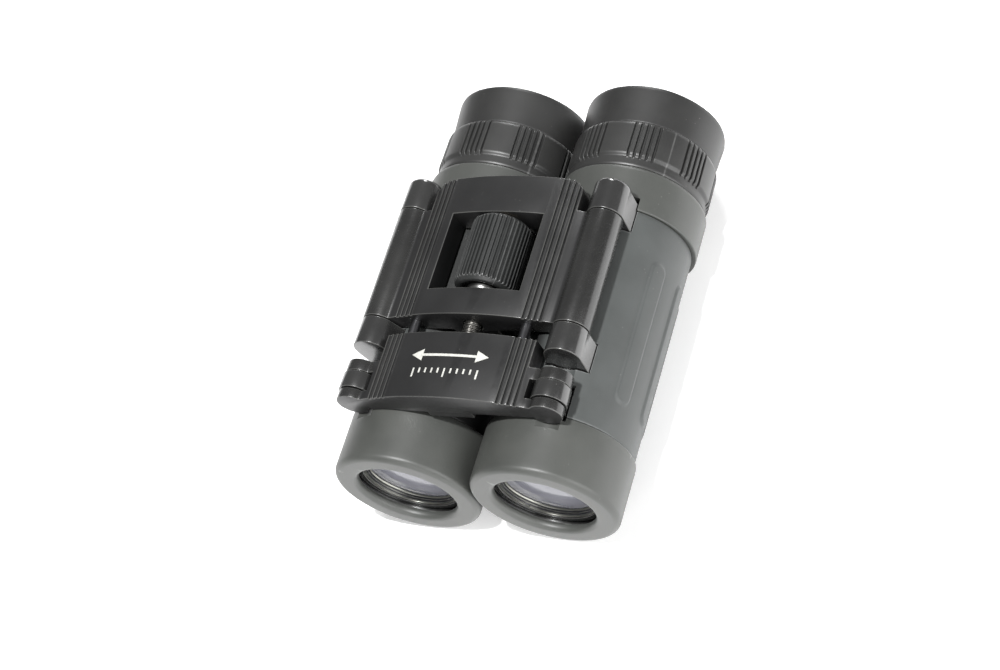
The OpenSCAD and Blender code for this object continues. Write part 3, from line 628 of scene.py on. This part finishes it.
main_span, front_span = span("main_bridge"), span("front_bridge")
stations = {
    "front": (main_span[0] - 7.1, main_span[0] - 0.3),
    "rear": (main_span[1] - 7.5, main_span[1] + 0.7),
    "slot": (front_span[0] + 1.1, front_span[0] + 9.9),
}

for side in SIDES:
    start, end = span(side + "_sleeve")
    outline = [(tube_seat, start), (sleeve_r, start, 0.3), (sleeve_r, end, 0.3), (tube_seat, end)]
    outline = eased(outline, 0.02)
    sleeve = round_piece(side + "_armour_sleeve", divided(outline, 0.45), barrel_frame[side], 720,
                         sleeve_shape(start, end), 75)
    cut(sleeve, lug_cutters(side, "window"), 60)
    finish_piece(sleeve, side + "_sleeve", side + "_tube", armour)
    print(sleeve.name, len(sleeve.data.vertices), "points")

# %% [markdown]
# The objective ring closes the barrel's front end. Its rim is well rounded outside, flat in front,
# and falls into the opening in a hollow bevel. The back edge is eased, so a fine dark line shows
# where the sleeve begins.

# %% Objective rings
opening_r, ring_depth, rim_round = 11.5, 14.4, 1.5
bevel_width, bevel_depth = 1.15, 1.2
retainer_seat_r, lip_depth, seat_depth = 12.95, 1.7, 2.6
forward_travel = 1.25


def ring_outline(front):
    rim = [(ring_r - rim_round + rim_round * math.sin(t), rim_round - rim_round * math.cos(t))
           for t in np.linspace(0, math.pi / 2, 13)]
    bevel = [(opening_r + 0.02 + bevel_width * (1 - math.cos(t)), bevel_depth * (1 - math.sin(t)))
             for t in np.linspace(0, math.pi / 2, 9)]
    back = eased([(ring_r, rim_round, 0), (ring_r, ring_depth, 0.35), (tube_seat, ring_depth, 0.02),
                  (tube_seat, seat_depth, 0.02), (retainer_seat_r, seat_depth, 0.02),
                  (retainer_seat_r, lip_depth, 0.02), (opening_r, lip_depth, 0.2),
                  (opening_r + 0.02, bevel_depth, 0)])[1:-1]
    return [(r, front + y) for r, y in rim + back + bevel]


for side in SIDES:
    front = span(side + "_front_ring")[0]
    place = barrel_frame[side]
    ring = round_piece(side + "_objective_ring", divided(ring_outline(front), 1.2), place, 256, sharp=50)
    cut(ring, [
        rod_mesh("trough", trough_r, front_span[0] - forward_travel, front_span[1] + 20, place, z=arm),
        prism_mesh("slot", slot_outline(), *stations["slot"], place),
    ])
    finish_piece(ring, side + "_front_ring", side + "_tube", ring_rubber)

# %% [markdown]
# The rear collar ties the tube to the eyepiece. It bulges half a millimetre outwards, which the
# shaping function adds as a second, shifted circle. The rear lug sits in a window in its front edge.

# %% Collars
bulge, bulge_turn = 0.5, math.radians(90 - 20.2)


def collar_shape(start, end):
    def shape(turns, radius, station):
        outer = radius > tube_seat + 0.3
        off = turns - bulge_turn
        bulged = bulge * np.cos(off) + np.sqrt(ring_r ** 2 - (bulge * np.sin(off)) ** 2)
        fade = soft_step((end - station) / 1.2)
        skin = radius + np.maximum(bulged - ring_r, 0) * fade
        cut_back = trough(turns, skin)
        skin = np.where(station < main_span[1] + 0.3, cut_back, skin)
        return np.where(outer, np.maximum(skin, tube_seat + 0.05), radius)
    return shape


for side in SIDES:
    start, end = span(side + "_collar")
    outline = [(tube_seat, start), (ring_r, start, 0.35), (ring_r, end, 0.9), (tube_seat, end)]
    outline = eased(outline, 0.02, 5)
    collar = round_piece(side + "_rear_collar", divided(outline, 0.4), barrel_frame[side], 360,
                         collar_shape(start, end), 50)
    cut(collar, lug_cutters(side, "collar_window", ["rear"]))
    finish_piece(collar, side + "_collar", side + "_tube", ring_rubber)
    print(collar.name, len(collar.data.vertices), "points")

# %% [markdown]
# ## The eyepieces
# The ring round an eyepiece has a smooth band in front and eight raised lands behind it. Between
# them lie groups of five grooves, open at the bevelled front edge. On the right barrel this ring
# turns and sets the dioptre, and on the left it only looks the same.

# %% Eyepiece rings
land_start, groove_step, groove_half, groove_depth, groups = 3.1, 4.9, 0.44, 0.7, 8
group_phase = {"left": 9, "right": 26}
seat_r = {"left": 13.91, "right": 13.95}
ring_body = {"left": "left_tube", "right": "diopter"}


def grip_shape(start, phase):
    land = start + land_start

    def shape(turns, radius, station):
        outer = radius > ring_r - 1.2
        deg = np.degrees(turns)
        off = (deg - phase + 180 / groups) % (360 / groups) - 180 / groups
        slot = np.abs(off - np.clip(np.round(off / groove_step), -2, 2) * groove_step)
        across = slot * math.pi / 180 * ring_r
        depth = soft_step((groove_half - across) / 0.2)
        level = ring_r - groove_depth * depth
        return np.where(outer & (station > land - 0.9), np.minimum(radius, level), radius)

    return shape


def ring_profile(start, seat):
    end = start + 12
    return [
        (seat, start, 0.05), (ring_r - 0.75, start, 0.2), (ring_r - 0.5, start + 0.5, 0.3),
        (ring_r - 0.52, start + land_start - 0.7, 0.25), (ring_r - 0.02, start + land_start, 0.35),
        (ring_r - 0.12, end - 0.8, 0.4), (ring_r - 0.6, end, 0.25), (15.0, end, 0.05),
        (15.0, end + 2.4, 0.3), (12.6, end + 2.4, 0.2), (12.6, end - 1, 0.05), (seat, end - 1, 0.05),
    ]


for side in SIDES:
    node = "left_eyepiece_ring" if side == "left" else "diopter_ring"
    start, end = span(node)
    outline = divided(eased(ring_profile(start, seat_r[side]), 0.1), 0.3)
    grip = round_piece(side + "_grip_ring", outline, barrel_frame[side], 1440,
                       grip_shape(start, group_phase[side]), 60)
    finish_piece(grip, node, ring_body[side], eyepiece_plastic)
    print(grip.name, len(grip.data.vertices), "points")

# %% [markdown]
# The eyecup is a thin cuff of soft rubber that can be folded down for people who wear glasses. It
# flares a little and ends in a round rim. A very slight waviness keeps it from looking machined.

# %% Eyecups
def cup_shape(turns, radius, station):
    wave = 0.05 * np.sin(3 * turns + 0.7) + 0.03 * np.sin(7 * turns)
    grow = np.clip((station - station.min()) / (station.max() - station.min()), 0, 1)
    return radius - 0.06 + wave * grow


for side in SIDES:
    start, end = span(side + "_eyecup")
    profile = [
        (15.12, start, 0.05), (16.2, start, 0.25), (16.25, start + 0.9, 0.5), (16.42, start + 3.5, 3),
        (16.74, end - 0.9, 0.6), (16.55, end - 0.05, 0.35), (15.75, end - 0.02, 0.4), (15.5, end - 1.0, 0.5),
        (15.35, start + 3.0, 1.5), (15.12, start + 2.4, 0.2),
    ]
    outline = divided(eased(profile, 0.2, 5), 0.7)
    cup = round_piece(side + "_soft_eyecup", outline, barrel_frame[side], 192, cup_shape, 60)
    finish_piece(cup, side + "_eyecup", ring_body[side], eyecup_rubber)

# %% [markdown]
# ## Glass
# Every lens is turned from its two curved faces. The faces get many points, because a reflection
# shows each step in a curve. The objective is a cemented pair: a strong front lens and a thin one
# that corrects its colour.

# %% Lenses
objective_lens_r, field_lens_r, eye_lens_r = 10.88, 8.48, 8.78


def lens_outline(r, front, front_sag, back, back_sag, steps=24):
    """From the axis out along the front face and home along the back face."""
    x = np.linspace(0, 1, steps + 1)
    near = [(max(r * t, 1e-4), front + front_sag * (1 - t * t)) for t in x]
    far = [(max(r * t, 1e-4), back + back_sag * (1 - t * t)) for t in x[::-1]]
    return near + far


def lens(node, body, r, faces, material):
    start, end = span(node)
    front, front_sag, back, back_sag = faces(start, end)
    obj = round_piece(node + "_glass", lens_outline(r, front, front_sag, back, back_sag),
                      barrel_frame[node.split("_")[0]], 128, sharp=40)
    return finish_piece(obj, node, body, material)


for side in SIDES:
    eye_body = "left_tube" if side == "left" else "right_eyepiece"
    lens(side + "_crown_lens", side + "_objective", objective_lens_r,
         lambda s, e: (s + 1.1, -1.1, e - 0.9, 0.9), objective_glass)
    lens(side + "_flint_lens", side + "_objective", objective_lens_r,
         lambda s, e: (s + 0.03, 0.9, e - 0.25, 0.25), inner_glass)
    lens(side + "_field_lens", eye_body, field_lens_r,
         lambda s, e: (s, 0.0, e - 1.6, 1.6), inner_glass)
    lens(side + "_eye_lens", eye_body, eye_lens_r,
         lambda s, e: (s + 0.8, -0.8, e - 0.9, 0.9), eye_glass)

# %% [markdown]
# The ring that holds the objective is turned aluminium, anodised black. Its stepped front catches
# light in thin bright circles with two darker bands between them, and two small notches let a
# spanner turn it. The darker bands are painted shade: their faces take a darker metal.

# %% Objective retainers
first_step, second_step = 0.4, 0.72
# Stations of the two bands of painted shade, as fractions of the retainer's depth.
shaded_bands = (0.28, 0.42), (0.62, 0.76)

for side in SIDES:
    start, end = span(side + "_lens_retainer")
    depth = end - start
    profile = [
        (10.78, start, 0.04), (11.15, start, 0.06), (11.15, end, 0.04), (10.25, end, 0.04),
        (10.25, end - 0.2, 0.04),
        (10.42, start + second_step * depth, 0.03), (10.56, start + second_step * depth, 0.03),
        (10.58, start + first_step * depth, 0.03), (10.74, start + first_step * depth, 0.03),
    ]

    def notch(turns, radius, station, start=start):
        near = np.abs(np.sin(turns - 0.6)) * 11 < 0.6
        return np.where(near & (station < start + 0.5) & (radius < 11), 11.05, radius)

    outline = divided(eased(profile, 0.03, 2), 0.25)
    ring = round_piece(side + "_retainer_ring", outline, barrel_frame[side], 512, notch, 30)
    finish_piece(ring, side + "_lens_retainer", side + "_objective", anodised)
    # Painted shade: faces in the two shaded bands take the darker blued steel.
    ring.data.materials.append(blued_steel)
    for face in ring.data.polygons:
        step = (face.center.y / MM - start) / depth
        face.material_index = int(any(low < step < high for low, high in shaded_bands))

# %% [markdown]
# ## The focus drive
# The wheel has forty-two ribs with narrow crests and rounded shoulders. The shaping function lowers
# the radius between the ribs, and the two bevelled ends come from the outline.

# %% Focus wheel
wheel_place = bridge_frame @ Matrix.Translation((0, 0, 0.35 * MM))
wheel_r, rib_height, ribs = 7.1, 0.55, 42


def rib_shape(start, end):
    def shape(turns, radius, station):
        outer = radius > 5.6
        phase = (turns * ribs / (2 * math.pi)) % 1
        crest = soft_step((0.31 - np.abs(phase - 0.5)) / 0.2)
        low = rib_height * (1 - crest)
        inset = np.minimum(station - start - 0.55, end - station)
        low = low * soft_step(inset / 0.55)
        return np.where(outer, np.minimum(radius, wheel_r - low), radius)
    return shape


start, end = span("focus_wheel")
profile = [
    (3.42, start + 0.82, 0.02), (5.1, start + 0.82, 0.15), (5.2, start, 0.25), (6.1, start, 0.35),
    (wheel_r, start + 0.95, 0.4), (wheel_r, end - 0.95, 0.3), (6.1, end, 0.2), (3.42, end, 0.05),
]
outline = divided(eased(profile, 0.1, 3), 0.35)
wheel = round_piece("ribbed_wheel", outline, wheel_place, 1080, rib_shape(start, end), 55)
finish_piece(wheel, "focus_wheel", "wheel", wheel_rubber)
print("wheel:", len(wheel.data.vertices), "points")

# %% [markdown]
# The nut's domed collar shows as a bright button in front of the wheel. The screw that runs into it
# has a real thread here: the radius follows a saw-tooth wave that climbs one pitch for each turn.

# %% Nut and screw
start, end = span("focus_nut")
wheel_start, wheel_end = span("focus_wheel")
window_front = wheel_start - 1.6
recess_floor = wheel_start + 0.8
profile = [
    (2.06, start, 0.1), (2.88, start, 0.1), (2.88, window_front + 0.3, 0.05), (3.1, window_front + 0.35, 0.2),
    (3.5, window_front + 0.7, 0.5), (3.82, window_front + 1.3, 0.6), (3.88, recess_floor - 0.02, 0.05),
    (3.39, recess_floor - 0.02, 0.05), (3.39, wheel_end, 0.05), (2.59, wheel_end, 0.05),
    (2.59, end, 0.2), (2.06, end, 0.05),
]
nut = round_piece("domed_nut", divided(eased(profile, 0.1, 4), 0.6), wheel_place, 128, sharp=40)
finish_piece(nut, "focus_nut", "wheel", bright_metal)

start, end = span("focus_screw")
pitch, thread_depth = 0.8, 0.34


def thread_shape(turns, radius, station):
    phase = (station / pitch - turns / (2 * math.pi)) % 1
    wave = 1 - np.abs(2 * phase - 1)
    fade = soft_step((station - start - 6) / 1.2) * soft_step((end - 0.6 - station) / 0.4)
    return np.where(radius > 1.2, radius - thread_depth * soft_step(wave) * fade, radius)


profile = eased([(0.0002, start, 0), (1.98, start, 0.05), (1.98, end, 0.3), (0.0002, end, 0)], 0.1)
screw = round_piece("threaded_screw", divided(profile, 0.08), wheel_place, 64, thread_shape, 60)
finish_piece(screw, "focus_screw", "slider", ground_steel)
print("screw:", len(screw.data.vertices), "points")


# %% [markdown]
# ## Bridges, lugs and lens cells
# These pieces have flat faces and cut-outs, so their measured shape is kept and only its edges are
# eased. Each node's mesh is copied into a new object, flat neighbours are joined again, and a bevel
# rounds the edges that stick out, a sixth of a millimetre wide. Sharp black plastic looks like
# paper. A narrow edge that catches the light makes it look moulded; its paler colour is partly
# rubbed wear and partly a painted highlight. The tubes round the hinge axes get a smoother skin.

# %% Eased copies
def eased_copy(node, name, width_mm, materials, segments=3, angle=25, flat=0.6):
    """A copy of a node's mesh with rounded edges, which take the second material."""
    mesh = frame["nodes"][node].data.copy()
    obj = bpy.data.objects.new(name, mesh)
    bpy.context.collection.objects.link(obj)
    work = bmesh.new()
    work.from_mesh(mesh)
    bmesh.ops.remove_doubles(work, verts=work.verts, dist=3e-6)
    bmesh.ops.dissolve_limit(work, angle_limit=math.radians(flat), verts=work.verts, edges=work.edges)
    weight = work.edges.layers.float.new("bevel_weight_edge")
    for edge in work.edges:
        outer = len(edge.link_faces) == 2 and edge.is_convex
        edge[weight] = float(outer and edge.calc_face_angle() > math.radians(angle))
    work.to_mesh(mesh)
    work.free()
    mesh.materials.clear()
    for material in materials:
        mesh.materials.append(material)
    bevel = obj.modifiers.new("eased", "BEVEL")
    bevel.material = 1
    bevel.width, bevel.segments = width_mm * MM, segments
    bevel.limit_method = "WEIGHT"
    bevel.use_clamp_overlap, bevel.miter_outer = False, "MITER_SHARP"
    bpy.context.view_layer.update()
    rounded = bpy.data.meshes.new_from_object(obj.evaluated_get(bpy.context.evaluated_depsgraph_get()))
    obj.modifiers.clear()
    obj.data = rounded
    obj.data.shade_smooth()
    obj.data.set_sharp_from_angle(angle=math.radians(32))
    return obj


tube_reach = 4.3
EASED = [
    ("main_bridge", "main_bridge_body", "bridge", 0.15, bridge_plastic, "bridge_black"),
    ("front_bridge", "front_bridge_body", "slider", 0.15, bridge_plastic, "bridge_black"),
    ("left_barrel", "left_tube_and_lugs", "left_tube", 0.18, lug_plastic, "barrel_black"),
    ("right_barrel", "right_tube_and_lugs", "right_tube", 0.18, lug_plastic, "barrel_black"),
    ("left_objective_cell", "left_lens_cell", "left_objective", 0.12, lug_plastic, "inner_black"),
    ("right_objective_cell", "right_lens_cell", "right_objective", 0.12, lug_plastic, "inner_black"),
]


def polish_tubes(obj):
    """Gives the faces near a hinge axis the smoother skin of the hinge tubes."""
    to_bridge = bridge_frame.inverted()
    for face in obj.data.polygons:
        centre = to_bridge @ face.center
        reach = math.hypot(abs(centre.x) - half_span * MM, centre.z)
        if face.material_index == 0 and reach < tube_reach * MM:
            face.material_index = 2


for node, name, body, width, material, slot in EASED:
    piece = eased_copy(node, name, width, (material, edge_wear_and_highlight, tube_plastic))
    if material == bridge_plastic:
        polish_tubes(piece)
    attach(piece, body)
    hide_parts(node)
    print(name, len(piece.data.polygons), "faces")

# %% [markdown]
# A white mark is pad-printed on the front bridge: a long arrow with a head at each end and a row of
# ticks under it, to show that the wheel moves the bridge. The ink is a skin a few hundredths of a
# millimetre thick. Its outlines are filled with a fine grid, and each point is set down on the arch.

# %% Printed mark
crown, arch_end = 5.6, 1.6
ink_below, ink_above = -0.01, 0.035
line_half, line_low, line_high = 7.5, 1.35, 1.95
tick_half_w, tick_top, tick_step, short_tick, long_tick = 0.2, -1.6, 1.6, 1.2, 2.2
arch_r = (half_span ** 2 + (crown - arch_end) ** 2) / (2 * (crown - arch_end))


def arch_top(x):
    return crown - arch_r + math.sqrt(arch_r ** 2 - x * x)


def ink_strip(work, corners, station, steps=12):
    """A four-cornered patch, given as (x, y) corners, laid on the arch as a thin closed skin."""
    a, b, c, d = (Vector(p) for p in corners)
    rows = []
    for i in range(steps + 1):
        left, right = a.lerp(b, i / steps), d.lerp(c, i / steps)
        row = []
        for k in range(3):
            p = left.lerp(right, k / 2)
            for lift in (ink_below, ink_above):
                row.append(work.verts.new((p.x * MM, (station + p.y) * MM, (arch_top(p.x) + lift) * MM)))
        rows.append(row)
    for one, two in zip(rows, rows[1:]):
        for p, q in ((1, 3), (3, 5), (5, 4), (4, 2), (2, 0), (0, 1)):
            work.faces.new((one[p], two[p], two[q], one[q]))
    for row in (rows[0], rows[-1]):
        work.faces.new((row[0], row[2], row[3], row[1]))
        work.faces.new((row[2], row[4], row[5], row[3]))


work = bmesh.new()
middle = sum(front_span) / 2 + 0.6
line = [(-line_half, line_low), (line_half, line_low), (line_half, line_high), (-line_half, line_high)]
ink_strip(work, line, middle, 40)
for way in (-1, 1):
    ink_strip(work, [(way * 6.7, 0.2), (way * 9.6, 1.64), (way * 9.6, 1.66), (way * 6.7, 3.1)], middle)
for i in range(-5, 6):
    foot = tick_top - (long_tick if i % 5 == 0 else short_tick)
    left, right = i * tick_step - tick_half_w, i * tick_step + tick_half_w
    ink_strip(work, [(left, tick_top), (right, tick_top), (right, foot), (left, foot)], middle, 3)
bmesh.ops.recalc_face_normals(work, faces=work.faces)
mark_mesh = bpy.data.meshes.new("focus_mark")
work.to_mesh(mark_mesh)
work.free()
mark_mesh.transform(bridge_frame)
mark = bpy.data.objects.new("focus_mark", mark_mesh)
bpy.context.collection.objects.link(mark)

ink = Finish("white_ink", Specular_IOR_Level=0.4)
worn = ink.noise(0.9, 4).ramp(0.3, 0.75)
ink.feed("Base Color", ink.mix(worn * 0.6, (0.42, 0.42, 0.39), (0.26, 0.26, 0.245)))
ink.feed("Roughness", 0.5 + worn * 0.25)
ink.bump(ink.noise(0.3, 2), 0.005)
mark.data.materials.append(ink.material)
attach(mark, "slider")
print("printed mark:", len(mark_mesh.vertices), "points")

# %% [markdown]
# ## Small parts
# What is left is small, hidden or seen only from behind, so the measured shape stays and gets the
# right finish: ground pins and rods, black caps and cells, a blackened brass washer and the prisms.

# %% Finishes of the small parts
SMALL = {
    "front_bearing_cap": bridge_plastic, "rear_bearing_cap": bridge_plastic, "cap_screws": ground_steel,
    "guide_rods": blued_steel, "thrust_washer": blackened_brass,
}
for side in SIDES:
    SMALL.update({
        side + "_link_pin": ground_steel, side + "_hinge_pin": ground_steel,
        side + "_front_prism": prism_glass, side + "_roof_prism": prism_glass,
        side + "_prism_cage": inner_black, side + "_eyepiece_base": lug_plastic,
        side + "_eyepiece_cell": inner_black, side + "_field_stop": inner_black,
        side + "_eye_retainer": inner_black,
    })
for node, material in SMALL.items():
    obj = frame["nodes"][node]
    for slot in obj.material_slots:
        slot.material = material
print("small parts:", len(SMALL))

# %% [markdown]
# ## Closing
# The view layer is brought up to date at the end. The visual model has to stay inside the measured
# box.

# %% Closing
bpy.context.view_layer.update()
